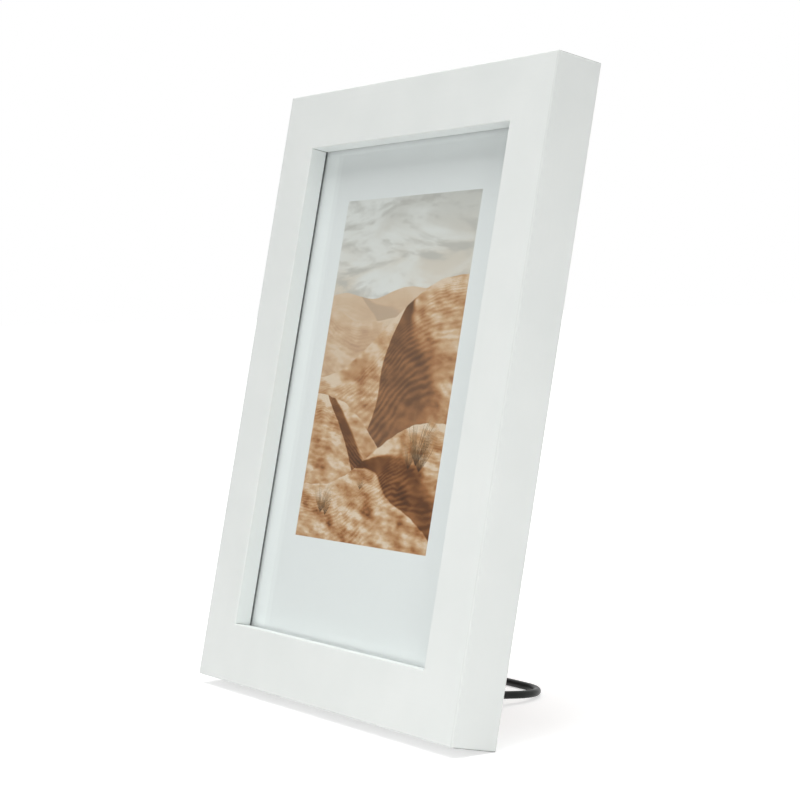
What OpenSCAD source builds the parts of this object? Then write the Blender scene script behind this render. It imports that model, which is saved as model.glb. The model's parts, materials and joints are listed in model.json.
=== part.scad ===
// White picture frame for one upright print, standing on a bent wire.
// The frame is drawn upright with its front face at y = 0, then leaned back
// until the bottom rail's back edge and the wire's crossbar touch the table.
// Everything on a rail is drawn in that rail's own axes: x along the rail from
// its middle, y from the front face to the back, z inward from the outer edge.

/* [Picture and moulding] */
// Width of the picture size that the frame holds
picture_w = 130; // [100:5:300]
// Height of the picture size that the frame holds
picture_h = 180; // [130:5:400]
// Width of a moulding's face
rail_w = 20.25; // [17:0.25:40]
// Width of the rebate behind the lip
rebate_w = 5.75; // [4:0.25:7]
// Thickness of the lip in front of the glass
lip_t = 6; // [3:0.5:10]
// Radius of the eased long edges
ease_r = 0.6; // [0.2:0.1:1]
// Radius of the eased edge around the sight opening
sight_r = 0.4; // [0.2:0.1:1]
// Radius of the frame's four outer corners
corner_r = 0.8; // [0.3:0.1:2]

/* [Glass and backing] */
// Free space between a pane's edge and the rebate's wall
pane_gap = 0.5; // [0.2:0.1:1]
// Thickness of the glass
glass_t = 2; // [1:0.5:3]
// Thickness of the printed sheet
insert_t = 0.3; // [0.1:0.1:0.6]
// Thickness of the filler card
filler_t = 5; // [1:0.5:6]
// Thickness of the back panel
panel_t = 3; // [2:0.5:5]
// Depth of the back panel's outer face below the rails' backs
panel_sink = 0.2; // [0.1:0.1:1]
// Radius of the back panel's finger notch
notch_r = 11; // [7:0.5:15]
// Radius of the back panel's corners
panel_corner_r = 1.5; // [0.5:0.5:4]

/* [Wire stand] */
// Diameter of the wire
wire_d = 2.6; // [2:0.1:3.6]
// Spacing of the two legs, centre to centre
stand_gap = 47; // [36:0.5:70]
// Length of a leg from its socket's mouth to the crossbar's centre line
stand_leg = 64; // [40:0.5:110]
// Angle by which a leg and its socket rise from square to the back, in degrees
stand_rise = 6.5; // [2:0.5:9]
// Bend radius at the crossbar's ends, on the centre line
stand_bend_r = 17; // [6:0.5:17]
// Distance of a socket's mouth from the rail's outer edge, at its centre
socket_up = 8; // [5:0.5:9.5]
// Depth of a socket
socket_depth = 10.5; // [7:0.5:11]
// Radial clearance of the wire in its socket
socket_fit = 0.05; // [0.02:0.01:0.1]
// Free space between the wire's end and the socket's bottom
socket_spare = 0.5; // [0.2:0.1:1]

/* [Turn clips] */
// Width of a turn clip
clip_w = 8; // [6:0.5:10]
// Thickness of a turn clip
clip_t = 0.8; // [0.5:0.1:1.5]
// Length of a turn clip from its screw to the end of its nose
clip_reach = 11; // [9.5:0.5:14]
// Distance of a clip's screw from the rebate's wall
clip_back = 6; // [4:0.5:8]
// Distance of a clip from the frame's bottom or top edge
clip_up = 45; // [35:1:60]
// Running space under and over a turn clip
clip_gap = 0.1; // [0.05:0.05:0.3]
// Radial clearance of a turn clip on its screw
clip_fit = 0.05; // [0.02:0.01:0.1]
// Width of the bead pressed along a turn clip
bead_w = 2.4; // [1.5:0.1:3.5]
// Height of the bead pressed along a turn clip
bead_h = 0.5; // [0.3:0.1:0.8]
// Diameter of a clip screw's thread
screw_d = 2.5; // [2:0.1:3]
// Length of a clip screw below its head
screw_l = 9; // [6:0.5:11]
// Diameter of a clip screw's head
screw_head_d = 5; // [4.2:0.1:6]
// Height of a clip screw's head
screw_head_h = 1.6; // [1:0.1:2.2]

/* [Hangers and corner nails] */
// Length of a hanger
hanger_l = 38; // [34:1:50]
// Width of a hanger
hanger_w = 9; // [7:0.5:10]
// Thickness of a hanger's steel
hanger_t = 0.8; // [0.5:0.1:1.2]
// Height of a hanger's raised middle above the wood
hanger_lift = 2; // [1:0.1:2.5]
// Length of a hanger's flat foot at each end
foot_l = 8; // [6:0.5:10]
// Length over which a hanger slopes up from a foot
slope_l = 2.5; // [1.5:0.5:4]
// Spacing of a hanger's teeth
tooth_pitch = 2.5; // [2:0.25:4]
// Depth of a hanger's teeth
tooth_depth = 1.4; // [0.8:0.1:2]
// Diameter of a hanger nail's shank
nail_d = 1.3; // [1:0.1:1.6]
// Length of a hanger nail below its head
nail_l = 9; // [6:0.5:11]
// Diameter of a hanger nail's head
nail_head_d = 3.4; // [2.6:0.1:4.5]
// Thickness of a hanger nail's head
nail_head_t = 0.6; // [0.4:0.1:1]
// Length of each wing of a corner nail
wing_l = 6.5; // [5:0.5:8]
// Thickness of a corner nail's steel
wing_t = 0.4; // [0.3:0.1:0.6]
// Height of a corner nail, into the wood
wing_depth = 8; // [5:0.5:9]
// Depth of a corner nail's edge below the wood's back
wing_sink = 0.4; // [0.2:0.1:0.8]

/* [Hidden] */
$fn = 64;

// Every cut runs this far past the faces it goes through
overrun = 1;

// Moulding and frame
back_land = rail_w - rebate_w;
rail_d = lip_t + glass_t + insert_t + filler_t + panel_t + panel_sink;
frame_w = picture_w + 2 * pane_gap + 2 * back_land;
frame_h = picture_h + 2 * pane_gap + 2 * back_land;
pane_low = back_land + pane_gap;

// Where each layer behind the lip starts, from the front face
insert_front = lip_t + glass_t;
filler_front = insert_front + insert_t;
panel_front = filler_front + filler_t;

// Where the wire's crossbar lies, counted from the bottom rail's back edge
wire_r = wire_d / 2;
bar_y = stand_leg * cos(stand_rise);
bar_z = socket_up + stand_leg * sin(stand_rise);

// The lean that sets both the back edge and the crossbar on the table
bar_from_edge = [bar_z - ease_r, bar_y + ease_r];
lean = acos((wire_r - ease_r) / norm(bar_from_edge)) - atan2(bar_from_edge[1], bar_from_edge[0]);

// Where the leaned frame's lowest, foremost and rearmost points lie
low_z = ease_r * (sin(lean) + cos(lean) - 1);
front_y = (ease_r - rail_d) * cos(lean) + ease_r * sin(lean) - ease_r;
bar_back_y = bar_y * cos(lean) + bar_z * sin(lean) + wire_r;
top_back_y = (hanger_lift + hanger_t) * cos(lean) + frame_h * sin(lean);
middle_y = (front_y + max(bar_back_y, top_back_y)) / 2;

// Turn clips and screws
screw_r = screw_d / 2;
screw_core_share = 0.72;
screw_in = back_land - clip_back;
screw_seat = rail_d + 2 * clip_gap + clip_t;
clip_x = frame_h / 2 - clip_up;
recess_share = 0.56;
recess_w_share = 0.13;
recess_d_share = 0.6;
dome_r = (pow(screw_head_d / 2, 2) + pow(screw_head_h, 2)) / (2 * screw_head_h);

// Hangers
hanger_low = (back_land - hanger_w) / 2;
foot_x = hanger_l / 2 - foot_l / 2;
raised_x = hanger_l / 2 - foot_l - slope_l;
teeth = floor(2 * raised_x / tooth_pitch);
hanger_corner_share = 0.2;

// Corner nails sit midway across the back land
wing_apex = (back_land + wing_l) / 2;

// Leans the upright frame back and puts the middle of its footprint at the origin
module stand_up() {
    translate([0, -middle_y, -low_z])
        rotate([-lean, 0, 0])
            translate([0, -rail_d, 0])
                children();
}

// Put a child drawn in a rail's own axes on each side of the frame
module on_bottom() {
    children();
}

module on_top() {
    translate([0, 0, frame_h]) rotate([0, 180, 0]) children();
}

module on_left() {
    translate([-frame_w / 2, 0, frame_h / 2]) rotate([0, 90, 0]) children();
}

module on_right() {
    translate([frame_w / 2, 0, frame_h / 2]) rotate([0, -90, 0]) children();
}

// Extrudes an x-z outline from y = from to y = to
module through(from, to) {
    translate([0, to, 0]) rotate([90, 0, 0]) linear_extrude(to - from) children();
}

// What is cut from a square corner at the origin to round it
module corner_cut(r) {
    difference() {
        translate([-overrun, -overrun]) square(r + overrun);
        translate([r, r]) circle(r);
    }
}

// A rectangle centred on x, standing on y = 0, with round corners
module round_plate(w, h, r) {
    translate([-w / 2 + r, 0]) square([w - 2 * r, h]);
    translate([-w / 2, r]) square([w, h - 2 * r]);
    for (x = [-1, 1], y = [r, h - r])
        translate([x * (w / 2 - r), y]) circle(r);
}

// The moulding's section: depth along x, width along y
module moulding_section() {
    difference() {
        square([rail_d, rail_w]);
        translate([lip_t, back_land]) square([rail_d, rebate_w + overrun]);
        corner_cut(ease_r);
        translate([rail_d, 0]) mirror([1, 0]) corner_cut(ease_r);
        translate([rail_d, back_land]) mirror([1, 0]) mirror([0, 1]) corner_cut(sight_r);
        translate([0, rail_w]) mirror([0, 1]) corner_cut(sight_r);
    }
}

// The wedge-ended outline that leaves a 45 degree mitre at each end of a rail
module mitre_outline(length) {
    outer = length / 2 + overrun;
    inner = length / 2 - rail_w - overrun;
    polygon([[-outer, -overrun], [outer, -overrun], [inner, rail_w + overrun], [-inner, rail_w + overrun]]);
}

// A corner nail's V, with the frame's outer corner at the origin
module nail_wings() {
    translate([wing_apex - wing_l, wing_apex - wing_t / 2]) square([wing_l + wing_t / 2, wing_t]);
    translate([wing_apex - wing_t / 2, wing_apex - wing_l]) square([wing_t, wing_l + wing_t / 2]);
}

module rail(length) {
    difference() {
        intersection() {
            translate([-length / 2, 0, 0])
                rotate([90, 0, 90])
                    linear_extrude(length) moulding_section();
            through(-overrun, rail_d + overrun) mitre_outline(length);
        }
        for (end = [0, 1])
            mirror([end, 0, 0])
                translate([-length / 2, 0, 0]) {
                    through(-overrun, rail_d + overrun) corner_cut(corner_r);
                    through(rail_d - wing_sink - wing_depth, rail_d + overrun) nail_wings();
                }
    }
}

// Turns a child whose y runs along the wire's legs into a rail's own axes
module along_legs() {
    translate([0, rail_d, socket_up]) rotate([stand_rise, 0, 0]) children();
}

// Two blind sockets for the wire, in the middle of a rail
module socket_pair() {
    along_legs()
        for (x = [-stand_gap / 2, stand_gap / 2])
            translate([x, overrun, 0])
                rotate([90, 0, 0])
                    cylinder(r = wire_r + socket_fit, h = socket_depth + overrun);
}

// Pilot holes for the two clip screws of a long rail, as wide as a screw's core
module pilot_holes() {
    for (x = [-clip_x, clip_x])
        translate([x, rail_d + overrun, screw_in])
            rotate([90, 0, 0])
                cylinder(r = screw_r * screw_core_share, h = screw_l + overrun);
}

module top_rail() {
    color("whitesmoke") stand_up() on_top() rail(frame_w);
}

module bottom_rail() {
    color("whitesmoke") stand_up() on_bottom() difference() {
        rail(frame_w);
        socket_pair();
    }
}

module left_rail() {
    color("whitesmoke") stand_up() on_left() difference() {
        rail(frame_h);
        pilot_holes();
    }
}

module right_rail() {
    color("whitesmoke") stand_up() on_right() difference() {
        rail(frame_h);
        socket_pair();
        pilot_holes();
    }
}

module corner_v_nails() {
    color("silver") stand_up()
        for (side = [0, 1], end = [0, 1])
            translate([0, 0, frame_h / 2])
                mirror([side, 0, 0])
                    mirror([0, 0, end])
                        translate([-frame_w / 2, 0, -frame_h / 2])
                            through(rail_d - wing_sink - wing_depth, rail_d - wing_sink) nail_wings();
}

// One layer of the picture's pack, as large as the picture
module layer(from, thickness, corner) {
    translate([0, 0, pane_low])
        through(from, from + thickness) round_plate(picture_w, picture_h, corner);
}

module glass_pane() {
    color("lightcyan", 0.4) stand_up() layer(lip_t, glass_t, glass_t / 4);
}

module picture_insert() {
    color("tan") stand_up() layer(insert_front, insert_t, insert_t);
}

module filler_board() {
    color("lightgray") stand_up() layer(filler_front, filler_t, panel_corner_r);
}

module back_panel() {
    color("sienna") stand_up() difference() {
        layer(panel_front, panel_t, panel_corner_r);
        translate([0, 0, pane_low + picture_h])
            through(panel_front - overrun, rail_d + overrun) circle(notch_r);
    }
}

// A flat steel turn button with its screw at the origin and its nose along +z
module turn_clip() {
    bead_l = clip_reach - clip_w / 2 - screw_head_d / 2;
    translate([0, rail_d + clip_gap, 0]) {
        through(0, clip_t) difference() {
            union() {
                circle(clip_w / 2);
                translate([-clip_w / 2, 0]) square([clip_w, clip_reach - clip_w / 2]);
                translate([0, clip_reach - clip_w / 2]) circle(clip_w / 2);
            }
            circle(screw_r + clip_fit);
        }
        // The bead, cut from a round bar along the nose
        intersection() {
            through(clip_t / 2, clip_t + bead_h)
                translate([-bead_w / 2, screw_head_d / 2 + clip_w / 8]) square([bead_w, bead_l]);
            translate([0, clip_t + bead_h - bead_r(), 0]) cylinder(r = bead_r(), h = clip_reach);
        }
    }
}

// The radius whose arc is as wide and as high as the bead
function bead_r() = (pow(bead_w / 2, 2) + pow(bead_h, 2)) / (2 * bead_h);

module turn_clip_left_low() {
    color("silver") stand_up() on_left() translate([clip_x, 0, screw_in]) turn_clip();
}

module turn_clip_left_high() {
    color("silver") stand_up() on_left() translate([-clip_x, 0, screw_in]) turn_clip();
}

module turn_clip_right_low() {
    color("silver") stand_up() on_right() translate([-clip_x, 0, screw_in]) turn_clip();
}

module turn_clip_right_high() {
    color("silver") stand_up() on_right() translate([clip_x, 0, screw_in]) turn_clip();
}

// A pan-head screw standing on z = 0, its thread below
module clip_screw() {
    recess_w = screw_head_d * recess_w_share;
    recess_l = screw_head_d * recess_share;
    difference() {
        rotate_extrude() intersection() {
            translate([0, screw_head_h - dome_r]) circle(dome_r);
            square([screw_head_d / 2, screw_head_h]);
        }
        for (turn = [0, 90])
            rotate([0, 0, turn])
                translate([-recess_l / 2, -recess_w / 2, screw_head_h * (1 - recess_d_share)])
                    cube([recess_l, recess_w, screw_head_h]);
    }
    translate([0, 0, screw_d - screw_l]) cylinder(r = screw_r, h = screw_l - screw_d);
    translate([0, 0, -screw_l]) cylinder(r1 = screw_r / 8, r2 = screw_r, h = screw_d);
}

module screw_pair() {
    for (x = [-clip_x, clip_x])
        translate([x, screw_seat, screw_in]) rotate([-90, 0, 0]) clip_screw();
}

module clip_screws() {
    color("gainsboro") stand_up() {
        on_left() screw_pair();
        on_right() screw_pair();
    }
}

// A sawtooth hanger: two flat feet, a raised middle, teeth on its inner edge
module hanger() {
    half = hanger_l / 2;
    knee = half - foot_l;
    difference() {
        intersection() {
            translate([0, rail_d, hanger_low])
                linear_extrude(hanger_w)
                    polygon([
                        [-half, 0], [-knee, 0], [-raised_x, hanger_lift], [raised_x, hanger_lift],
                        [knee, 0], [half, 0], [half, hanger_t], [knee, hanger_t],
                        [raised_x, hanger_lift + hanger_t], [-raised_x, hanger_lift + hanger_t],
                        [-knee, hanger_t], [-half, hanger_t]
                    ]);
            translate([0, 0, hanger_low])
                through(rail_d - overrun, rail_d + hanger_lift + hanger_t + overrun)
                    round_plate(hanger_l, hanger_w, hanger_w * hanger_corner_share);
        }
        for (i = [0:teeth - 1])
            translate([(i - (teeth - 1) / 2) * tooth_pitch, 0, hanger_low + hanger_w])
                through(rail_d - overrun, rail_d + hanger_lift + hanger_t + overrun)
                    polygon([[-tooth_pitch / 2, 0], [0, -tooth_depth], [tooth_pitch / 2, 0], [0, overrun]]);
        for (x = [-foot_x, foot_x])
            translate([x, rail_d - overrun, back_land / 2])
                rotate([-90, 0, 0]) cylinder(d = nail_d, h = hanger_t + 2 * overrun);
    }
}

module hanger_top() {
    color("silver") stand_up() on_top() hanger();
}

module hanger_side() {
    color("silver") stand_up() on_left() hanger();
}

module nail_pair() {
    for (x = [-foot_x, foot_x])
        translate([x, rail_d + hanger_t, back_land / 2]) rotate([-90, 0, 0]) {
            cylinder(d = nail_head_d, h = nail_head_t);
            translate([0, 0, -nail_l]) cylinder(d = nail_d, h = nail_l);
        }
}

module hanger_nails() {
    color("gainsboro") stand_up() {
        on_top() nail_pair();
        on_left() nail_pair();
    }
}

// One half of the wire, in the plane of its legs: a round-ended prong that goes
// straight on into the leg, and the bend into the crossbar
module wire_half() {
    prong_l = socket_depth - socket_spare;
    leg_l = stand_leg - stand_bend_r;
    translate([stand_gap / 2, 0, 0]) {
        translate([0, wire_r - prong_l, 0]) sphere(wire_r);
        translate([0, leg_l, 0])
            rotate([90, 0, 0]) cylinder(r = wire_r, h = prong_l - wire_r + leg_l);
        translate([-stand_bend_r, leg_l, 0])
            rotate_extrude(angle = 90) translate([stand_bend_r, 0]) circle(wire_r);
    }
}

module stand_wire() {
    color("dimgray") stand_up() along_legs() {
        wire_half();
        mirror([1, 0, 0]) wire_half();
        translate([0, stand_leg, 0])
            rotate([0, 90, 0]) cylinder(r = wire_r, h = stand_gap - 2 * stand_bend_r, center = true);
    }
}

top_rail();
bottom_rail();
left_rail();
right_rail();
corner_v_nails();
glass_pane();
picture_insert();
filler_board();
back_panel();
turn_clip_left_low();
turn_clip_left_high();
turn_clip_right_low();
turn_clip_right_high();
clip_screws();
hanger_top();
hanger_side();
hanger_nails();
stand_wire();
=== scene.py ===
# %% [markdown]
# # A white picture frame on a bent wire
# The object is a square-edged wooden frame, painted white, that holds one print behind glass.
# It leans back on a black wire that plugs into its bottom rail. Turn clips, sawtooth hangers and
# corner nails are on its back. The solids come ready made, so this script only gives them their
# finishes, adds what solids don't show, and sets up the light and the camera.

# %% Load the solids
import json
import math
import bmesh
import bpy
from mathutils import Matrix, Vector


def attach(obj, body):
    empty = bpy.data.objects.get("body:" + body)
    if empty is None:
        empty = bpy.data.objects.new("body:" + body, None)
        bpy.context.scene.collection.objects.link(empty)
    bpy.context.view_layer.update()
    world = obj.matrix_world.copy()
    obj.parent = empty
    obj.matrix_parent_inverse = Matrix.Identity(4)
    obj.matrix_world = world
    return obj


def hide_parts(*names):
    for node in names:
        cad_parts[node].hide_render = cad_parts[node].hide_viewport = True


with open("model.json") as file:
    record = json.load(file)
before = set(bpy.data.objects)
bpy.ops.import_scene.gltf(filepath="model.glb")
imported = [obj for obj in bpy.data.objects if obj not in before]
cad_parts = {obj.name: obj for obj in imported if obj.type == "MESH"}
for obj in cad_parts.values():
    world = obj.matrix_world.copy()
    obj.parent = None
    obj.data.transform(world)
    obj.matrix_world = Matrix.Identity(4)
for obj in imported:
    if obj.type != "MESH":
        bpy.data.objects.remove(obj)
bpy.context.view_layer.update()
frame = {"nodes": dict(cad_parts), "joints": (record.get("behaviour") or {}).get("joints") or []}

# %% [markdown]
# ## The frame's own axes
# The frame leans, so its parts are awkward to describe in the room's axes. Every piece below is
# described upright instead: x across from the middle, y from the front face to the back, and z up
# from the lower edge, in millimetres. The turn clips pivot square to the back, so their joint's
# axis tells how far the frame leans. Reading it keeps this script right if the lean ever changes.

# %% Upright axes
MM = 0.001
nodes = frame["nodes"]
clip_joint = next(j for j in frame["joints"] if j["name"] == "clip_left_low_turn")
across = Vector((1, 0, 0))
backward = Vector(clip_joint["axis"]).normalized()
upward = across.cross(backward)
rail_corners = [v.co for name in ("top_rail", "bottom_rail") for v in nodes[name].data.vertices]
front_at = min(p.dot(backward) for p in rail_corners)
foot_at = min(p.dot(upward) for p in rail_corners)
LEAN = math.atan2(upward.y, upward.z)


def spot(x, y, z):
    """A point of the upright frame, in millimetres, as a point of the room."""
    return x * MM * across + (front_at + y * MM) * backward + (foot_at + z * MM) * upward


FRAME_W = 2 * max(p.x for p in rail_corners) / MM
FRAME_H = (max(p.dot(upward) for p in rail_corners) - foot_at) / MM
print(f"frame {FRAME_W:.1f} x {FRAME_H:.1f} mm, leaning {math.degrees(LEAN):.2f} degrees")

# %% [markdown]
# ## The camera
# The photograph was taken from the right and a little above the table's height, with a lens about
# two and a half times the normal length, so that the frame narrows only slightly with distance.
# Place, aim and roll come from matching the frame's corners with those in the photograph.

# %% Camera
LENS_MM = 94.89
CAMERA_AT = Vector((0.58711, -0.38264, 0.13581))
CAMERA_AIM = Vector((0.00663, -0.00926, 0.10187))
CAMERA_ROLL = math.radians(-1.301)
NEAREST_M, FURTHEST_M = 0.02, 60

camera_data = bpy.data.cameras.new("photo_camera")
camera_data.lens = LENS_MM
camera_data.clip_start, camera_data.clip_end = NEAREST_M, FURTHEST_M
camera = bpy.data.objects.new("photo_camera", camera_data)
camera.location = CAMERA_AT
aim_turn = (CAMERA_AIM - CAMERA_AT).to_track_quat("-Z", "Y").to_matrix()
camera.rotation_euler = (aim_turn @ Matrix.Rotation(CAMERA_ROLL, 3, "Z")).to_euler()
bpy.context.scene.collection.objects.link(camera)
bpy.context.scene.camera = camera
print("camera", round((CAMERA_AIM - CAMERA_AT).length, 3), "m from its aim")

# %% [markdown]
# ## Node helpers
# Each finish is a small tree of shader nodes. One helper adds a node with its settings and inputs,
# and one does arithmetic, so that a finish below reads like a recipe. Patterns are laid out in the
# upright axes in millimetres: object coordinates are turned by the lean, and then the grain runs
# along a rail and the print sits square on its sheet. A noise pattern seldom leaves the middle of
# its range, so most finishes first stretch that middle to the whole of it.

# %% Node helpers
NOISE_MIDDLE = 0.3, 0.7


def add(tree, kind, inputs=None, **settings):
    """Adds a node, sets its options, and fills or links its inputs."""
    node = tree.nodes.new(kind)
    for option, value in settings.items():
        setattr(node, option, value)
    for socket, value in (inputs or {}).items():
        if isinstance(value, bpy.types.NodeSocket):
            tree.links.new(value, node.inputs[socket])
        else:
            node.inputs[socket].default_value = value
    return node


def calc(tree, operation, *values, clamp=False):
    """The result of a math node."""
    fed = dict(enumerate(values))
    return add(tree, "ShaderNodeMath", fed, operation=operation, use_clamp=clamp).outputs[0]


def upright_mm(tree, stretch=(1, 1, 1)):
    """Coordinates in the upright axes, in millimetres, each times its stretch."""
    turned = Matrix.Rotation(LEAN, 3, "X")
    origin = turned @ spot(0, 0, 0)
    place = tree.nodes.new("ShaderNodeTexCoord").outputs["Object"]
    upright = add(tree, "ShaderNodeMapping", {"Vector": place, "Rotation": (LEAN, 0, 0),
                                              "Location": -origin / MM, "Scale": (1 / MM,) * 3})
    return vector(tree, "MULTIPLY", upright.outputs[0], stretch)


def vector(tree, operation, first, second):
    """The result of a vector math node."""
    fed = {0: first, 1: second}
    return add(tree, "ShaderNodeVectorMath", fed, operation=operation).outputs[0]


def noise(tree, where, scale, detail=2.0, roughness=0.5, distortion=0.0):
    """A soft random pattern, from about 0 to 1. Scale is in patches to a millimetre."""
    return add(tree, "ShaderNodeTexNoise", {
        "Vector": where, "Scale": scale, "Detail": detail, "Roughness": roughness,
        "Distortion": distortion}).outputs["Fac"]


def ranged(tree, value, low, high, to_low, to_high, smooth=False):
    """A value's range moved to another, and held inside it."""
    kind = "SMOOTHSTEP" if smooth else "LINEAR"
    return add(tree, "ShaderNodeMapRange", {
        "Value": value, "From Min": low, "From Max": high, "To Min": to_low, "To Max": to_high},
        interpolation_type=kind).outputs[0]


def blend(tree, share, first, second, how="MIX"):
    """Two colours mixed by a share from 0, the first, to 1, the second."""
    mix = add(tree, "ShaderNodeMix", data_type="RGBA", blend_type=how, clamp_factor=True)
    for socket, value in ((mix.inputs[0], share), (mix.inputs[6], first), (mix.inputs[7], second)):
        if isinstance(value, bpy.types.NodeSocket):
            tree.links.new(value, socket)
        elif socket.type == "RGBA":
            socket.default_value = (*value[:3], 1)
        else:
            socket.default_value = value
    return mix.outputs[2]


def laid_over(tree, colour, pattern, tone, start, full, shows):
    """A colour with another tone over it, where a pattern goes from start to full."""
    return blend(tree, ranged(tree, pattern, start, full, 0, shows), colour, tone)


def finish(name, metallic=0.0, **constants):
    """A new material's tree and its Principled shader, with the constant values set."""
    material = bpy.data.materials.new(name)
    material.use_nodes = True
    tree = material.node_tree
    shader = tree.nodes["Principled BSDF"]
    shader.inputs["Metallic"].default_value = metallic
    for socket, value in constants.items():
        shader.inputs[socket.replace("_", " ")].default_value = value
    return material, tree, shader


def feed(tree, shader, **sockets):
    """Links node outputs to the shader's sockets."""
    for socket, value in sockets.items():
        tree.links.new(value, shader.inputs[socket.replace("_", " ")])


def relief(tree, height, depth_mm, under=None):
    """A bump from a height pattern of this depth."""
    fed = {"Height": height, "Distance": depth_mm * MM, "Strength": 1.0}
    if under is not None:
        fed["Normal"] = under
    return add(tree, "ShaderNodeBump", fed).outputs[0]


def dress(material, *names):
    """Gives solids a finish through their material slots."""
    for name in names:
        node = nodes[name]
        if not node.material_slots:
            node.data.materials.append(material)
        for slot in node.material_slots:
            slot.material = material
    print(material.name, "on", ", ".join(names))

# %% [markdown]
# ## White satin paint on wood
# The rails are sprayed with several coats, so only a trace of the wood's grain shows in the gloss,
# along with a fine orange-peel texture and slightly duller patches. A flat white would look like
# plastic. The paint is drawn in three layers: a very soft change of tone over the rail, long thin
# grain that runs with the wood, and fine peel. The grain's direction differs between upright and
# level rails, so the paint is made once for each. Where two rails meet, the paint bridges the mitre
# on the front, but on the inner walls, the sides and the back it has opened to a hair crack. The
# outer upright edges get painted shade, a greyer tone that keeps a bright line of light off them.
# The walls around the opening get painted light, a whiter tone that stands for bounced light.

# %% Paint for the rails
RAIL_FACE_MM = 20.25
PAINT_TONES = (0.745, 0.773, 0.753), (0.785, 0.808, 0.788)
# Painted shade for the outer edges, and painted light for the walls around the opening
EDGE_PAINTED_SHADE, WALL_PAINTED_LIGHT = (0.67, 0.695, 0.675), (0.815, 0.850, 0.838)
CRACK_TONE = (0.12, 0.125, 0.12)
# How fine each pattern is, in patches to a millimetre
CLOUDS_FINE, GRAIN_FINE, PEEL_FINE, DULL_FINE = 0.035, 1.0, 1.4, 0.09
PAINT_GRAIN_MM, PAINT_PEEL_MM = 0.012, 0.004
GRAIN_TONE = PAINT_TONES[0], 0.35, 0.65, 0.22
PAINT_ROUGHNESS, DULLER_BY = 0.36, 0.16
CRACK_MM, CRACK_FADES, CRACK_SHOWS = 0.32, (0.4, 1.4), 0.9
# Depths behind the front between which a crack opens, the edges' painted shade ends and the walls'
# painted light starts
CRACK_OPENS_MM, EDGE_SHADE_ENDS_MM, WALL_LIGHT_STARTS_MM = (0.3, 1.2), (0.2, 0.7), (0.2, 0.8)
WALL_LIGHT_WITHIN_MM = 0.5, 0.1


def rail_place(tree, where):
    """How far a point is from the nearer side, from the nearer end, and from the front, in mm."""
    parts = add(tree, "ShaderNodeSeparateXYZ", {0: where}).outputs
    from_side = calc(tree, "SUBTRACT", FRAME_W / 2, calc(tree, "ABSOLUTE", parts[0]))
    high = calc(tree, "ABSOLUTE", calc(tree, "SUBTRACT", parts[2], FRAME_H / 2))
    return from_side, calc(tree, "SUBTRACT", FRAME_H / 2, high), parts[1]


def mitre_crack(tree, where):
    """Where a mitre has cracked. It runs at 45 degrees through a corner of the frame."""
    from_side, from_end, depth = rail_place(tree, where)
    off = calc(tree, "ABSOLUTE", calc(tree, "SUBTRACT", from_side, from_end))
    sharp, gone = (share * CRACK_MM for share in CRACK_FADES)
    line = ranged(tree, off, sharp, gone, 1, 0)
    return calc(tree, "MULTIPLY", line, ranged(tree, depth, *CRACK_OPENS_MM, 0, CRACK_SHOWS))


def edge_shade_mask(tree, where):
    """1 on the front's upright outer edges and 0 a millimetre away from them, where painted shade
    goes.
    """
    from_side, _, depth = rail_place(tree, where)
    near_side = ranged(tree, from_side, *EDGE_SHADE_ENDS_MM, 1, 0)
    return calc(tree, "MULTIPLY", near_side, ranged(tree, depth, *EDGE_SHADE_ENDS_MM, 1, 0))


def wall_light_mask(tree, where):
    """1 on the walls around the opening and 0 on the rails' faces, where painted light goes."""
    from_side, from_end, depth = rail_place(tree, where)
    start, end = (RAIL_FACE_MM - before for before in WALL_LIGHT_WITHIN_MM)
    inside = ranged(tree, calc(tree, "MINIMUM", from_side, from_end), start, end, 0, 1)
    return calc(tree, "MULTIPLY", inside, ranged(tree, depth, *WALL_LIGHT_STARTS_MM, 0, 1))


def white_paint(name, grain_stretch):
    """Satin paint whose grain is stretched along one axis."""
    material, tree, shader = finish(name, Specular_IOR_Level=0.45)
    plain = upright_mm(tree)
    along = upright_mm(tree, grain_stretch)
    clouds = noise(tree, plain, CLOUDS_FINE, detail=3)
    grain = noise(tree, along, GRAIN_FINE, detail=4, roughness=0.6)
    peel = noise(tree, plain, PEEL_FINE, detail=1)
    tone = blend(tree, ranged(tree, clouds, *NOISE_MIDDLE, 0, 1), *PAINT_TONES)
    tone = laid_over(tree, tone, grain, *GRAIN_TONE)
    # Painted shade on the outer edges
    tone = blend(tree, edge_shade_mask(tree, plain), tone, EDGE_PAINTED_SHADE)
    # Painted light on the walls around the opening
    tone = blend(tree, wall_light_mask(tree, plain), tone, WALL_PAINTED_LIGHT)
    tone = blend(tree, mitre_crack(tree, plain), tone, CRACK_TONE)
    dull = noise(tree, plain, DULL_FINE, detail=4)
    dull = calc(tree, "MULTIPLY_ADD", dull, DULLER_BY, PAINT_ROUGHNESS)
    bumps = relief(tree, grain, PAINT_GRAIN_MM)
    feed(tree, shader, Base_Color=tone, Roughness=dull,
         Normal=relief(tree, peel, PAINT_PEEL_MM, bumps))
    return material


GRAIN_ALONG, GRAIN_ACROSS = 0.02, 1.3
level = (GRAIN_ALONG, GRAIN_ACROSS, GRAIN_ACROSS)
upright = (GRAIN_ACROSS, GRAIN_ACROSS, GRAIN_ALONG)
dress(white_paint("white_paint_level", level), "top_rail", "bottom_rail")
dress(white_paint("white_paint_upright", upright), "left_rail", "right_rail")

# %% [markdown]
# ## The printed sheet
# The sheet behind the glass has a wide pale margin and one upright colour print. The print here is
# a landscape made for this model: layers of sand dunes under a pale sky, with tufts of dry grass.
# It could be an image on a plane, but drawn with nodes it stays sharp at any size, and this script
# stays whole. Each dune is the area under a wavy ridge line, so the picture is built from the sky
# forward, one ridge over the other, like cut paper. Places on it are u across and v up, each from 0
# to 1, and flat is the two together at one scale.

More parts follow.
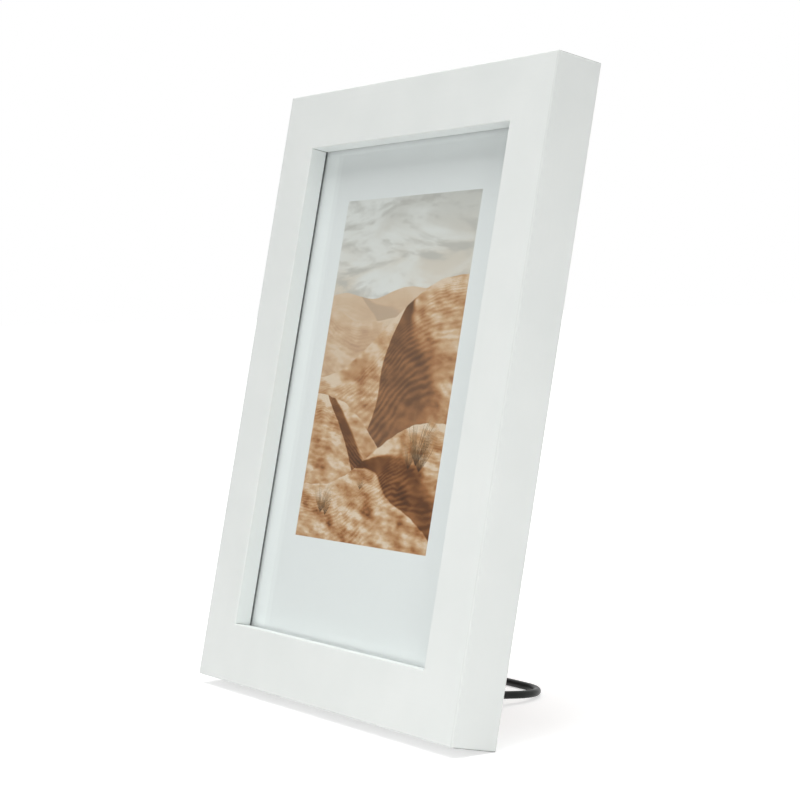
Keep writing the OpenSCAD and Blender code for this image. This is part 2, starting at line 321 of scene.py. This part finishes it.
# %% Where the print lies
PRINT_LEFT, PRINT_RIGHT = -40.0, 41.0
PRINT_LOW, PRINT_HIGH = 54.1, 171.1
PRINT_W, PRINT_H = PRINT_RIGHT - PRINT_LEFT, PRINT_HIGH - PRINT_LOW
print(f"print {PRINT_W:.1f} x {PRINT_H:.1f} mm")

# %% [markdown]
# ### The sky
# Thin high clouds are noise that is stretched sideways. The same noise, read a second time a little
# further up, tells where more cloud lies above a point, and there the underside of the cloud is in
# shade. A painter would put that shade in by hand, but here it follows the clouds on its own.

# %% A sky with thin clouds
SKY_LOW, SKY_HIGH = (0.72, 0.63, 0.51), (0.63, 0.63, 0.59)
SKY_FADES = 0.66, 0.95
CLOUD, CLOUD_SHADE = (0.77, 0.785, 0.755), (0.50, 0.495, 0.46)
CLOUD_FINE, CLOUD_STRETCH, CLOUD_EDGE = 1.6, (1.1, 3.4, 1), (0.36, 0.62)
FURTHER_UP = (0.03, 0.09, 0)
SHADE_FULL_AT, SHADE_SHOWS = 0.09, 0.75


def cloudy_sky(tree, flat, v):
    """Long thin clouds over a pale sky, with shade under the thick ones."""
    streaks = vector(tree, "MULTIPLY", flat, CLOUD_STRETCH)
    above = vector(tree, "ADD", streaks, FURTHER_UP)
    clouds, higher = (noise(tree, where, CLOUD_FINE, detail=7, roughness=0.58, distortion=0.6)
                      for where in (streaks, above))
    sky = blend(tree, ranged(tree, v, *SKY_FADES, 0, 1), SKY_LOW, SKY_HIGH)
    sky = blend(tree, ranged(tree, clouds, *CLOUD_EDGE, 0, 1, smooth=True), sky, CLOUD)
    under = calc(tree, "SUBTRACT", higher, clouds)
    shade = ranged(tree, under, 0.0, SHADE_FULL_AT, 0, SHADE_SHOWS)
    return blend(tree, shade, sky, CLOUD_SHADE)


print("the sky fades from", SKY_FADES[0], "to", SKY_FADES[1], "of the print's height")

# %% [markdown]
# ### The dunes
# A ridge line is one wave with a slope and a little roughness. Under it each dune has a flank in
# the sun and a flank in shade, with its crest between them, and haze over it. The sun that a point
# gets is worked out first, as one number: swells, the shaded flank and wind ripples all change it.
# A ramp of sand colours then turns it into a colour. That keeps light and colour apart, so either
# can be tuned alone.

# %% Ridge lines
RIDGE_SOFT, RIDGE_ROUGH = 0.0022, 0.016
# Each pair: the value at the furthest ridge, and how much it grows with every nearer one
ROUGH_FINE, SWELLS_FINE, RIPPLES_CROWD = (5.0, 2.0), (2.6, 0.5), (46.0, 8.0)
# Each ridge: base height, slope, wave height, wave count and phase; share of haze; then its crest:
# place across at the ridge, run sideways to a unit of depth, and bends to a unit of depth
RIDGES = (
    (0.700, 0.03, 0.013, 1.9, 0.8, 0.74, 0.22, 1.6, 30.0),
    (0.668, -0.07, 0.022, 1.3, 2.6, 0.50, 0.66, 1.2, 26.0),
    (0.500, 0.24, 0.050, 0.8, 4.0, 0.08, 0.60, -0.75, 17.0),
    (0.400, -0.26, 0.050, 0.8, 0.3, 0.02, 0.13, 1.25, 15.0),
    (0.150, 0.20, 0.035, 1.0, 3.2, 0.0, 0.36, 1.9, 21.0),
)


def at_ridge(pair, number):
    """A value for one ridge, counted from the furthest."""
    return pair[0] + pair[1] * number


def depth_under_ridge(tree, u, flat, v, number, base, slope, wave, count, phase):
    """How far below its ridge line a point lies; negative above it."""
    turn = calc(tree, "MULTIPLY_ADD", u, count * math.tau, phase)
    line = calc(tree, "MULTIPLY_ADD", calc(tree, "SINE", turn), wave, base)
    line = calc(tree, "MULTIPLY_ADD", u, slope, line)
    rough = noise(tree, flat, at_ridge(ROUGH_FINE, number), detail=3)
    line = calc(tree, "MULTIPLY_ADD", rough, RIDGE_ROUGH, line)
    return calc(tree, "SUBTRACT", line, v)


print(len(RIDGES), "ridges")

# %% Shade, swells and ripples of a dune
CREST_SWING, CREST_SHIFT, CREST_EDGE = 0.05, 1.7, (-0.005, 0.008)
FLANK_W, FLANK_WIDENS, FLANK_ENDS = 0.06, 1.5, (0.75, 1.15)
SWELL_STRETCH, SUNWARD = (1, 2.3, 1), (0.035, 0.03, 0)
RIPPLES_START, RIPPLES_CLOSEST, RIPPLES_WANDER = 0.035, 0.01, 40.0
DRIFT_FINE, WORN_PLACES_FINE = 2.6, 3.1
RIPPLES_WORN, RIPPLES_FAINT, RIPPLES_STRONG = (0.36, 0.6), 0.012, 0.075


def shaded_flank(tree, u, depth, number, crest_at, crest_run, crest_bend):
    """Where a dune lies in shade: from its crest on, and wider downhill, to the next rise."""
    shift = CREST_SHIFT * number
    bends = calc(tree, "SINE", calc(tree, "MULTIPLY_ADD", depth, crest_bend, shift))
    crest = calc(tree, "MULTIPLY_ADD", bends, CREST_SWING, crest_at)
    past = calc(tree, "SUBTRACT", u, calc(tree, "MULTIPLY_ADD", depth, crest_run, crest))
    flank = calc(tree, "MULTIPLY_ADD", depth, FLANK_WIDENS, FLANK_W)
    starts = ranged(tree, past, *CREST_EDGE, 0, 1, smooth=True)
    ends = ranged(tree, calc(tree, "DIVIDE", past, flank), *FLANK_ENDS, 1, 0, smooth=True)
    return calc(tree, "MULTIPLY", starts, ends)


def swells(tree, wide, number):
    """How much the sand rises towards the sun's side, over soft hollows and swells."""
    fine = at_ridge(SWELLS_FINE, number)
    there, here = (noise(tree, where, fine, detail=5)
                   for where in (vector(tree, "ADD", wide, SUNWARD), wide))
    return calc(tree, "SUBTRACT", there, here)


def ripples(tree, flat, wide, depth, number):
    """Wind ripples. They crowd towards the ridge, which is further away, and fade in places."""
    far = calc(tree, "MAXIMUM", calc(tree, "ADD", depth, RIPPLES_START), RIPPLES_CLOSEST)
    crowded = calc(tree, "LOGARITHM", far, math.e)
    crowded = calc(tree, "MULTIPLY", crowded, at_ridge(RIPPLES_CROWD, number))
    drift = noise(tree, flat, DRIFT_FINE, detail=3)
    wave = calc(tree, "SINE", calc(tree, "MULTIPLY_ADD", drift, RIPPLES_WANDER, crowded))
    worn = noise(tree, wide, WORN_PLACES_FINE, detail=3)
    height = ranged(tree, worn, *RIPPLES_WORN, RIPPLES_FAINT, RIPPLES_STRONG)
    return calc(tree, "MULTIPLY", wave, height)


print("ripples from", RIPPLES_CROWD[0], "to", at_ridge(RIPPLES_CROWD, len(RIDGES) - 1))

# %% Sand
HAZE = (0.68, 0.53, 0.385)
# From deep shade to full sun: how much light falls on the sand, and the colour it then has
SAND = (
    (0.00, (0.030, 0.012, 0.004)), (0.20, (0.125, 0.046, 0.014)), (0.42, (0.36, 0.15, 0.052)),
    (0.62, (0.52, 0.29, 0.135)), (0.82, (0.65, 0.445, 0.27)), (1.00, (0.76, 0.62, 0.47)),
)
SUN_LEVEL, SUN_ON_SWELLS = 0.70, 2.6
SHADE_LEVEL, SHADE_ON_SWELLS, SHADE_LIFTS = 0.20, 0.8, 0.25
RIM_DEPTH, RIM_SUN = 0.05, 0.2


def ramp(tree, share, stops):
    """A colour read off a row of stops, each a place and a colour."""
    node = add(tree, "ShaderNodeValToRGB", {0: share})
    marks = node.color_ramp.elements
    while len(marks) < len(stops):
        marks.new(1.0)
    for mark, (place, colour) in zip(marks, stops):
        mark.position = place
        mark.color = (*colour, 1)
    return node.outputs[0]


def sand(tree, u, flat, depth, number, haze, *crest):
    """One dune: how much sun each point gets, and from that its colour."""
    wide = vector(tree, "MULTIPLY", flat, SWELL_STRETCH)
    slope = swells(tree, wide, number)
    sun = calc(tree, "MULTIPLY_ADD", slope, SUN_ON_SWELLS, SUN_LEVEL)
    sun = calc(tree, "ADD", sun, ranged(tree, depth, 0.0, RIM_DEPTH, RIM_SUN, 0))
    dim = calc(tree, "MULTIPLY_ADD", depth, SHADE_LIFTS, SHADE_LEVEL)
    dim = calc(tree, "MULTIPLY_ADD", slope, SHADE_ON_SWELLS, dim)
    shade = shaded_flank(tree, u, depth, number, *crest)
    loss = calc(tree, "MULTIPLY", shade, calc(tree, "SUBTRACT", dim, sun))
    sun = calc(tree, "ADD", sun, loss)
    sun = calc(tree, "ADD", sun, ripples(tree, flat, wide, depth, number))
    return blend(tree, haze, ramp(tree, sun, SAND), HAZE)


print(len(SAND), "sand colours")

# %% [markdown]
# ### The grass
# A tuft is a fan of thin blades from one point. Modelled blades would be far too fine for a print
# this small. Here the angle around the tuft's foot is cut into steps, each step is one blade with a
# length of its own, and the angle bends with distance, so that the blades curve over.

# %% Tufts of grass
# Each tuft: across, up, height, spread of its blades and their lean, as shares of a turn
TUFTS = (
    (0.83, 0.235, 0.30, 0.11, 0.05), (0.86, 0.22, 0.24, 0.13, -0.06),
    (0.78, 0.225, 0.17, 0.12, -0.03), (0.17, 0.075, 0.18, 0.13, 0.05),
    (0.21, 0.07, 0.13, 0.12, -0.05), (0.45, 0.155, 0.07, 0.15, 0.02),
)
GRASS_DARK, GRASS_STRAW = (0.035, 0.018, 0.008), (0.42, 0.27, 0.13)
BLADES_TO_A_TURN, BLADE_SOFT, SHORTEST_BLADE = 110.0, 0.1, 0.25
DRY_FROM = 0.6


def grass_tuft(tree, picture, u, v, at_u, at_v, height, spread, lean):
    """Draws the thin bent blades of one tuft of grass over the picture."""
    right = calc(tree, "SUBTRACT", u, at_u)
    up = calc(tree, "MULTIPLY", calc(tree, "SUBTRACT", v, at_v), PRINT_H / PRINT_W)
    reach = calc(tree, "SQRT", calc(tree, "ADD", calc(tree, "MULTIPLY", right, right),
                                    calc(tree, "MULTIPLY", up, up)))
    reach = calc(tree, "DIVIDE", reach, height)
    angle = calc(tree, "DIVIDE", calc(tree, "ARCTAN2", right, up), math.tau)
    curve = calc(tree, "MULTIPLY", calc(tree, "MULTIPLY", reach, reach), lean)
    bent = calc(tree, "SUBTRACT", angle, curve)
    blade = calc(tree, "MULTIPLY", bent, BLADES_TO_A_TURN)
    own = add(tree, "ShaderNodeTexWhiteNoise", {"W": calc(tree, "FLOOR", blade)},
              noise_dimensions="1D").outputs["Value"]
    middle = calc(tree, "ABSOLUTE", calc(tree, "SUBTRACT", calc(tree, "FRACT", blade), 0.5))
    tip = calc(tree, "MULTIPLY_ADD", own, 1.0 - SHORTEST_BLADE, SHORTEST_BLADE)
    width = calc(tree, "SUBTRACT", 1.0, calc(tree, "DIVIDE", reach, tip))
    width = calc(tree, "MULTIPLY", width, 0.5)
    inside = calc(tree, "SUBTRACT", width, middle)
    inside = ranged(tree, inside, 0.0, BLADE_SOFT, 0, 1, smooth=True)
    fan = calc(tree, "LESS_THAN", calc(tree, "ABSOLUTE", bent), spread)
    blades = calc(tree, "MULTIPLY", inside, fan)
    dry = calc(tree, "MULTIPLY", calc(tree, "GREATER_THAN", own, DRY_FROM), reach)
    return blend(tree, blades, picture, blend(tree, dry, GRASS_DARK, GRASS_STRAW))


print(len(TUFTS), "tufts")

# %% [markdown]
# ### Picture and paper together
# The layers go over one another from the sky forward, and fine grain ties them together like the
# grain of a film. The paper around the print has a slight tooth and is matt; the ink fills the
# tooth and is a little smoother. The sheet's border under the lip gets painted shade, a dark grey
# for the little light that reaches in there, and at a slant the glass shows a sliver of it as a
# fine dark line.

# %% The sheet's finish
FILM_GRAIN_FINE, FILM_GRAIN_SHOWS, FILM_GRAIN_TONE = 190.0, 0.07, SAND[1][1]
PAPER_TONES = (0.80, 0.828, 0.825), (0.84, 0.868, 0.865)
# Painted shade on the sheet's border under the lip, and how far under the lip it goes from none to
# full
UNDER_LIP_PAINTED_SHADE, UNDER_LIP_SHADE_MM = (0.22, 0.225, 0.225), (0.1, 0.9)
INK_EDGE = 0.0005
PAPER_ROUGHNESS, INK_SMOOTHER_BY = 0.72, -0.15
TOOTH_FINE, TOOTH_MM = 3.0, 0.002


def dune_picture(tree, u, v):
    """The landscape's colour at u across and v up."""
    tall = calc(tree, "MULTIPLY", v, PRINT_H / PRINT_W)
    flat = add(tree, "ShaderNodeCombineXYZ", {0: u, 1: tall}).outputs[0]
    picture = cloudy_sky(tree, flat, v)
    for number, ridge in enumerate(RIDGES):
        depth = depth_under_ridge(tree, u, flat, v, number, *ridge[:5])
        ground = sand(tree, u, flat, depth, number, *ridge[5:])
        cover = ranged(tree, depth, 0.0, RIDGE_SOFT, 0, 1, smooth=True)
        picture = blend(tree, cover, picture, ground)
    for tuft in TUFTS:
        picture = grass_tuft(tree, picture, u, v, *tuft)
    grain = noise(tree, flat, FILM_GRAIN_FINE, detail=2)
    return laid_over(tree, picture, grain, FILM_GRAIN_TONE, *NOISE_MIDDLE, FILM_GRAIN_SHOWS)


def printed_sheet():
    """Matt paper with the picture in its margin."""
    material, tree, shader = finish("printed_sheet", Specular_IOR_Level=0.25)
    where = upright_mm(tree)
    parts = add(tree, "ShaderNodeSeparateXYZ", {0: where})
    u = ranged(tree, parts.outputs[0], PRINT_LEFT, PRINT_RIGHT, 0, 1)
    v = ranged(tree, parts.outputs[2], PRINT_LOW, PRINT_HIGH, 0, 1)
    left, low = (ranged(tree, value, 0.0, INK_EDGE, 0, 1) for value in (u, v))
    right, high = (ranged(tree, value, 1.0, 1.0 - INK_EDGE, 0, 1) for value in (u, v))
    inked = left
    for edge in (right, low, high):
        inked = calc(tree, "MULTIPLY", inked, edge)
    tooth = noise(tree, where, TOOTH_FINE, detail=3)
    paper = blend(tree, ranged(tree, tooth, *NOISE_MIDDLE, 0, 1), *PAPER_TONES)
    from_side, from_end, _ = rail_place(tree, where)
    under_lip = calc(tree, "SUBTRACT", RAIL_FACE_MM, calc(tree, "MINIMUM", from_side, from_end))
    # Painted shade where the sheet lies under the lip
    paper = blend(tree, ranged(tree, under_lip, *UNDER_LIP_SHADE_MM, 0, 1), paper, UNDER_LIP_PAINTED_SHADE)
    colour = blend(tree, inked, paper, dune_picture(tree, u, v))
    shine = calc(tree, "MULTIPLY_ADD", inked, INK_SMOOTHER_BY, PAPER_ROUGHNESS)
    feed(tree, shader, Base_Color=colour, Roughness=shine, Normal=relief(tree, tooth, TOOTH_MM))
    return material


dress(printed_sheet(), "picture_insert")

# %% [markdown]
# ## The glass
# The pane is 2 mm float glass, cut a little smaller than its rebate, with its sharp edges just
# taken off. Glass bends what is seen through it: at this slant the sheet seems barely a millimetre
# down, and a dark line shows where the eye looks in under the frame's lip. So the pane is a real
# slab that bends light. Lamps pass straight through it to the sheet, as they nearly do through
# real glass, which keeps the picture bright and free of noise. In the photograph the pane mirrors
# hardly anything, so its reflection is taken away, but for light that grazes it.

# %% Glass pane
GLASS_EASE_MM = 0.25
GLASS_SKIN_MM = 0.03
GLASS_IOR = 1.5
GLASS_BODY, GLASS_CLEAR, NO_MIRROR = (0.97, 0.98, 0.977), (0.96, 0.968, 0.965), (0, 0, 0)
WAVES_STRETCH, WAVES_FINE, WAVES_MM = (1, 1, 0.25), 0.05, 0.004


def clear_glass():
    """Float glass that lets lamps through to what lies behind it."""
    material, tree, shader = finish(
        "clear_glass", Transmission_Weight=1.0, IOR=GLASS_IOR, Roughness=0.0,
        Specular_Tint=(*NO_MIRROR, 1), Base_Color=(*GLASS_BODY, 1))
    waves = noise(tree, upright_mm(tree, WAVES_STRETCH), WAVES_FINE, detail=1)
    feed(tree, shader, Normal=relief(tree, waves, WAVES_MM))
    rays = tree.nodes.new("ShaderNodeLightPath")
    lamps = calc(tree, "MAXIMUM", rays.outputs["Is Shadow Ray"], rays.outputs["Is Diffuse Ray"])
    through = add(tree, "ShaderNodeBsdfTransparent", {"Color": (*GLASS_CLEAR, 1)})
    mixed = add(tree, "ShaderNodeMixShader",
                {0: lamps, 1: shader.outputs[0], 2: through.outputs[0]})
    tree.links.new(mixed.outputs[0], tree.nodes["Material Output"].inputs["Surface"])
    return material


def upright_box(node_name):
    """Lowest and highest corner of a solid in the upright axes, in millimetres."""
    points = [v.co for v in nodes[node_name].data.vertices]
    xs = [p.x / MM for p in points]
    ys = [(p.dot(backward) - front_at) / MM for p in points]
    zs = [(p.dot(upward) - foot_at) / MM for p in points]
    return Vector((min(xs), min(ys), min(zs))), Vector((max(xs), max(ys), max(zs)))


def piece(name, mesh, material, body):
    """Makes an object of a bmesh drawn in upright millimetres, and lets it ride on a body."""
    for vertex in mesh.verts:
        vertex.co = spot(*vertex.co)
    bmesh.ops.recalc_face_normals(mesh, faces=mesh.faces)
    data = bpy.data.meshes.new(name)
    mesh.to_mesh(data)
    mesh.free()
    data.materials.append(material)
    made = bpy.data.objects.new(name, data)
    bpy.context.scene.collection.objects.link(made)
    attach(made, body)
    print(name, "has", len(data.polygons), "faces")
    return made


def glass_slab():
    """The pane, a hair thinner than its solid so that no faces coincide."""
    low, high = upright_box("glass_pane")
    low.y += GLASS_SKIN_MM
    high.y -= GLASS_SKIN_MM
    mesh = bmesh.new()
    bmesh.ops.create_cube(mesh, size=1)
    for vertex in mesh.verts:
        vertex.co = [low[i] + (vertex.co[i] + 0.5) * (high[i] - low[i]) for i in range(3)]
    bmesh.ops.bevel(mesh, geom=mesh.edges, offset=GLASS_EASE_MM, segments=2, affect="EDGES")
    pane = piece("glass_slab", mesh, clear_glass(), "frame")
    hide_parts("glass_pane")


glass_slab()

# %% [markdown]
# ## Card and fibreboard behind the sheet
# A grey card fills the depth, and a panel of brown fibreboard closes the back. Both are pressed
# from fibres. The card shows pale and dark specks of recycled paper, and the panel a mottled brown
# with short fibres and a slight shine from pressing. One noise gives both kinds of speck: its
# highest places are one colour and its lowest the other, so the two never lie on top of each other.

# %% Grey card
CARD_TONES = (0.30, 0.285, 0.26), (0.42, 0.40, 0.37)
CARD_FINE, SPECKS_FINE = 0.6, 4.5
# Each kind of speck: its tone, where in the noise it starts and is full, and how much it shows
CARD_SPECKS = (
    ((0.16, 0.14, 0.12), 0.66, 0.72, 0.7),
    ((0.62, 0.6, 0.56), 0.34, 0.28, 0.7),
)
CARD_ROUGHNESS = 0.8, 0.95
CARD_RELIEF_MM = 0.03


def grey_card():
    """Recycled card with dark and pale specks."""
    material, tree, shader = finish("filler_card", Specular_IOR_Level=0.2)
    where = upright_mm(tree)
    mottle = noise(tree, where, CARD_FINE, detail=5, roughness=0.65)
    specks = noise(tree, where, SPECKS_FINE, detail=1)
    colour = blend(tree, mottle, *CARD_TONES)
    for speck in CARD_SPECKS:
        colour = laid_over(tree, colour, specks, *speck)
    dull = ranged(tree, mottle, 0, 1, *CARD_ROUGHNESS)
    bumps = relief(tree, mottle, CARD_RELIEF_MM)
    feed(tree, shader, Base_Color=colour, Roughness=dull, Normal=bumps)
    return material


dress(grey_card(), "filler_board")

# %% Brown fibreboard
BOARD_TONES = (0.105, 0.05, 0.022), (0.27, 0.15, 0.075)
BOARD_STAIN = (0.12, 0.06, 0.028), 0.38, 0.62, 0.55
BOARD_FLECKS = (
    ((0.44, 0.29, 0.165), 0.6, 0.68, 0.75),
    ((0.045, 0.022, 0.011), 0.38, 0.31, 0.8),
)
FIBRES_LIE, FLECKS_LIE = (0.4, 1, 1.5), (0.35, 1, 1.9)
FIBRES_FINE, STAINS_FINE, FLECKS_FINE = 0.8, 0.045, 1.1
BOARD_ROUGHNESS = 0.42, 0.62
BOARD_RELIEF_MM = 0.025


def brown_board():
    """Pressed fibreboard: fibres, soft stains, and pale and dark flecks."""
    material, tree, shader = finish("pressed_board", Specular_IOR_Level=0.35)
    fibres = noise(tree, upright_mm(tree, FIBRES_LIE), FIBRES_FINE, detail=7, roughness=0.75,
                   distortion=1.2)
    stains = noise(tree, upright_mm(tree), STAINS_FINE, detail=5, roughness=0.6)
    flecks = noise(tree, upright_mm(tree, FLECKS_LIE), FLECKS_FINE, detail=3, distortion=0.6)
    colour = blend(tree, ranged(tree, fibres, 0.33, 0.67, 0, 1), *BOARD_TONES)
    colour = laid_over(tree, colour, stains, *BOARD_STAIN)
    for fleck in BOARD_FLECKS:
        colour = laid_over(tree, colour, flecks, *fleck)
    dull = ranged(tree, fibres, *NOISE_MIDDLE, *BOARD_ROUGHNESS)
    bumps = relief(tree, fibres, BOARD_RELIEF_MM)
    feed(tree, shader, Base_Color=colour, Roughness=dull, Normal=bumps)
    return material


dress(brown_board(), "back_panel")

# %% [markdown]
# ## Zinc-plated steel
# Clips, screws, hangers and nails are stamped or drawn steel with a thin bright zinc plate. Zinc is
# a soft grey with a faint blue and yellow cast, and rolling leaves fine lines in the strip. The
# lines are drawn by a noise that is much longer than wide, and they vary the gloss more than the
# colour. Strips that lie level, upright or turned each need lines of their own direction.

# %% Plated steel
ZINC_TONES = (0.31, 0.322, 0.342), (0.45, 0.437, 0.40)
ZINC_LINES = (0.17, 0.175, 0.185), 0.56, 0.36, 0.55
LINES_FINE, ZINC_CLOUDS_FINE = 1.0, 0.35
ZINC_ROUGHNESS, ZINC_DULLER_BY = (0.22, 0.36), 0.1
ZINC_RELIEF_MM = 0.012
LINES_LEVEL, LINES_UPRIGHT, LINES_TURNED = (0.25, 3, 9), (9, 3, 0.25), (4, 0.6, 4)


def plated_steel(name, line_stretch):
    """Zinc plate with rolling lines that run where their stretch is smallest."""
    material, tree, shader = finish(name, metallic=1.0)
    lines = noise(tree, upright_mm(tree, line_stretch), LINES_FINE, detail=3, roughness=0.6)
    clouds = noise(tree, upright_mm(tree), ZINC_CLOUDS_FINE, detail=4)
    colour = blend(tree, ranged(tree, clouds, *NOISE_MIDDLE, 0, 1), *ZINC_TONES)
    colour = laid_over(tree, colour, lines, *ZINC_LINES)
    shine = calc(tree, "ADD", ranged(tree, lines, *NOISE_MIDDLE, *ZINC_ROUGHNESS),
                 ranged(tree, clouds, 0.35, 0.7, 0, ZINC_DULLER_BY))
    bumps = relief(tree, lines, ZINC_RELIEF_MM)
    feed(tree, shader, Base_Color=colour, Roughness=shine, Normal=bumps)
    return material


dress(plated_steel("plated_steel_level", LINES_LEVEL), "hanger_top", "turn_clip_left_low",
      "turn_clip_left_high", "turn_clip_right_low", "turn_clip_right_high")
dress(plated_steel("plated_steel_upright", LINES_UPRIGHT), "hanger_side")
dress(plated_steel("plated_steel_turned", LINES_TURNED), "clip_screws", "hanger_nails",
      "corner_v_nails")

# %% [markdown]
# ## The black wire
# The stand is steel wire with a black coating. The coating is slightly pebbled and half glossy, so
# it shows soft grey streaks where the wire bends towards the light, not sharp white ones. A plain
# black with one gloss would look like plastic, so wear makes tone and gloss uneven.

# %% Black coating
COATING_TONES = (0.006, 0.0065, 0.006), (0.014, 0.015, 0.014)
COATING_ROUGHNESS = 0.3, 0.44
PEBBLE_FINE, PEBBLE_MM = 2.2, 0.012
WORN_FINE = 0.16


def black_coating():
    """Pebbled, half glossy black, worn here and there."""
    material, tree, shader = finish("wire_coating", Specular_IOR_Level=0.22)
    where = upright_mm(tree)
    pebble = noise(tree, where, PEBBLE_FINE, detail=2)
    worn = noise(tree, where, WORN_FINE, detail=4)
    colour = blend(tree, ranged(tree, worn, 0.35, 0.7, 0, 1), *COATING_TONES)
    shine = ranged(tree, worn, *NOISE_MIDDLE, *COATING_ROUGHNESS)
    feed(tree, shader, Base_Color=colour, Roughness=shine, Normal=relief(tree, pebble, PEBBLE_MM))
    return material


dress(black_coating(), "stand_wire")

# %% [markdown]
# ## The table and the room
# The photograph shows the frame on plain white, with no edge between table and wall. The floor is a
# very large pale sheet. Seen directly or in a reflection it is topped up to white, the more so far
# from the frame where no lamp reaches, and close to the frame its soft shadow still darkens it. The
# room beyond is white too. One part of it, to the left of the frame, is kept dim for reflections:
# the glass mirrors that part towards the camera, and a photographer would hang a dark cloth there.

# %% Floor
FLOOR_HALF_M = 12.0
FLOOR_TONE = (0.7, 0.7, 0.7)
NEAR_GLOW, FAR_GLOW = 0.58, 1.0
NEAR_M, FAR_M = 0.35, 1.6
WHITE = (1, 1, 1, 1)


def seen_directly(tree):
    """1 for what the camera, a reflection or glass shows, and 0 for what lights other things."""
    rays = tree.nodes.new("ShaderNodeLightPath")
    shown = calc(tree, "MAXIMUM", rays.outputs["Is Camera Ray"], rays.outputs["Is Glossy Ray"])
    return calc(tree, "MAXIMUM", shown, rays.outputs["Is Transmission Ray"])


def pale_floor():
    """The white sheet that the frame stands on, which is no part of the model."""
    mesh = bmesh.new()
    bmesh.ops.create_grid(mesh, x_segments=2, y_segments=2, size=FLOOR_HALF_M)
    data = bpy.data.meshes.new("floor")
    mesh.to_mesh(data)
    mesh.free()
    material, tree, shader = finish("pale_floor", Roughness=0.9, Specular_IOR_Level=0.0)
    shader.inputs["Base Color"].default_value = (*FLOOR_TONE, 1)
    shader.inputs["Emission Color"].default_value = WHITE
    place = tree.nodes.new("ShaderNodeTexCoord").outputs["Object"]
    away = add(tree, "ShaderNodeVectorMath", {0: place}, operation="LENGTH").outputs["Value"]
    glow = ranged(tree, away, NEAR_M, FAR_M, NEAR_GLOW, FAR_GLOW, smooth=True)
    feed(tree, shader, Emission_Strength=calc(tree, "MULTIPLY", seen_directly(tree), glow))
    data.materials.append(material)
    floor = bpy.data.objects.new("floor", data)
    bpy.context.scene.collection.objects.link(floor)


pale_floor()
print("floor", 2 * FLOOR_HALF_M, "m wide")

# %% Room
ROOM_LIGHT = 0.25
DIM_TOWARDS = Vector((-0.838, -0.514, 0.180))
DIM_LEVEL, BRIGHT_LEVEL = 0.12, 0.9
DIM_INSIDE, DIM_OUTSIDE = math.cos(math.radians(24)), math.cos(math.radians(42))


def studio_room():
    """White to the camera, dim towards one side in reflections, and a soft light on everything."""
    world = bpy.data.worlds.new("studio_room")
    world.use_nodes = True
    tree = world.node_tree
    background = tree.nodes["Background"]
    background.inputs["Color"].default_value = WHITE
    direction = tree.nodes.new("ShaderNodeTexCoord").outputs["Generated"]
    facing = add(tree, "ShaderNodeVectorMath", {0: direction, 1: DIM_TOWARDS.normalized()},
                 operation="DOT_PRODUCT").outputs["Value"]
    mirrored = ranged(tree, facing, DIM_OUTSIDE, DIM_INSIDE, BRIGHT_LEVEL, DIM_LEVEL, smooth=True)
    rays = tree.nodes.new("ShaderNodeLightPath")
    seen = calc(tree, "MAXIMUM", rays.outputs["Is Glossy Ray"],
                rays.outputs["Is Transmission Ray"])
    level = ranged(tree, seen, 0, 1, ROOM_LIGHT, mirrored)
    level = ranged(tree, rays.outputs["Is Camera Ray"], 0, 1, level, 1.0)
    tree.links.new(level, background.inputs["Strength"])
    bpy.context.scene.world = world


studio_room()
print("room light", ROOM_LIGHT)

# %% [markdown]
# ## The lamps
# The photograph's light falls from above and a little in front: the lip's soft shadow lies on the
# top of the sheet. A second, weaker softbox hangs right above the frame, and one in front opens the
# shadows. Three low strips, one in front and two on the right, stand for the light that a bright
# table throws back, which is why the face and the side of the frame get paler towards the foot. A
# thin strip along the foot of the sheet stands for what the bright lower wall of the opening throws
# on it, which a diffuse bounce alone gives too weakly. One more strip lights the back. Only the two
# softboxes overhead show in reflections, as the others stand for light off the table and walls.

# %% Lamps
# Each lamp: place, aim, width and height in metres, power in watts
LAMPS = {
    "main_softbox": ((0, -0.5, 2.0), (0, -0.1, 0), 1.6, 1.2, 26.1),
    "top_softbox": ((0, 0.1, 1.1), (0, 0.1, 0), 0.8, 0.6, 3.5),
    "front_fill": ((-0.2, -1.5, 0.4), (0, 0, 0.1), 1.0, 0.8, 2.8),
    "table_front": ((0.05, -0.4, 0.03), (0, 0, 0.02), 0.4, 0.06, 0.235),
    "table_right_far": ((0.7, -0.15, 0.04), (0, 0, 0.02), 0.4, 0.08, 0.75),
    "table_right_near": ((0.42, -0.12, 0.03), (0, 0, 0.02), 0.3, 0.06, 0.33),
    "back_fill": ((-0.4, 1.5, 0.1), (0, 0, 0.1), 1.0, 0.2, 9.0),
    "sill_glow": (spot(0, 5.2, 20.8), spot(0, 8.2, 21.3), 0.112, 0.001, 0.0004),
}
MIRRORED = "main_softbox", "top_softbox"


def softbox(name, place, aim, width, height, power):
    """A rectangular lamp at a place, turned to its aim."""
    data = bpy.data.lights.new(name, "AREA")
    data.shape, data.size, data.size_y, data.energy = "RECTANGLE", width, height, power
    lamp = bpy.data.objects.new(name, data)
    lamp.visible_glossy = lamp.visible_transmission = name in MIRRORED
    lamp.location = place
    lamp.rotation_euler = (Vector(aim) - Vector(place)).to_track_quat("-Z", "Y").to_euler()
    bpy.context.scene.collection.objects.link(lamp)


for name, settings in LAMPS.items():
    softbox(name, *settings)
print("lamps:", ", ".join(LAMPS))

# %% [markdown]
# ## Picture settings
# The table has to come out as plain white and the paint as it was mixed, so the picture uses the
# Standard view, which doesn't bend the tones as a film-like one would.

# %% Picture settings
bpy.context.scene.view_settings.view_transform = "Standard"
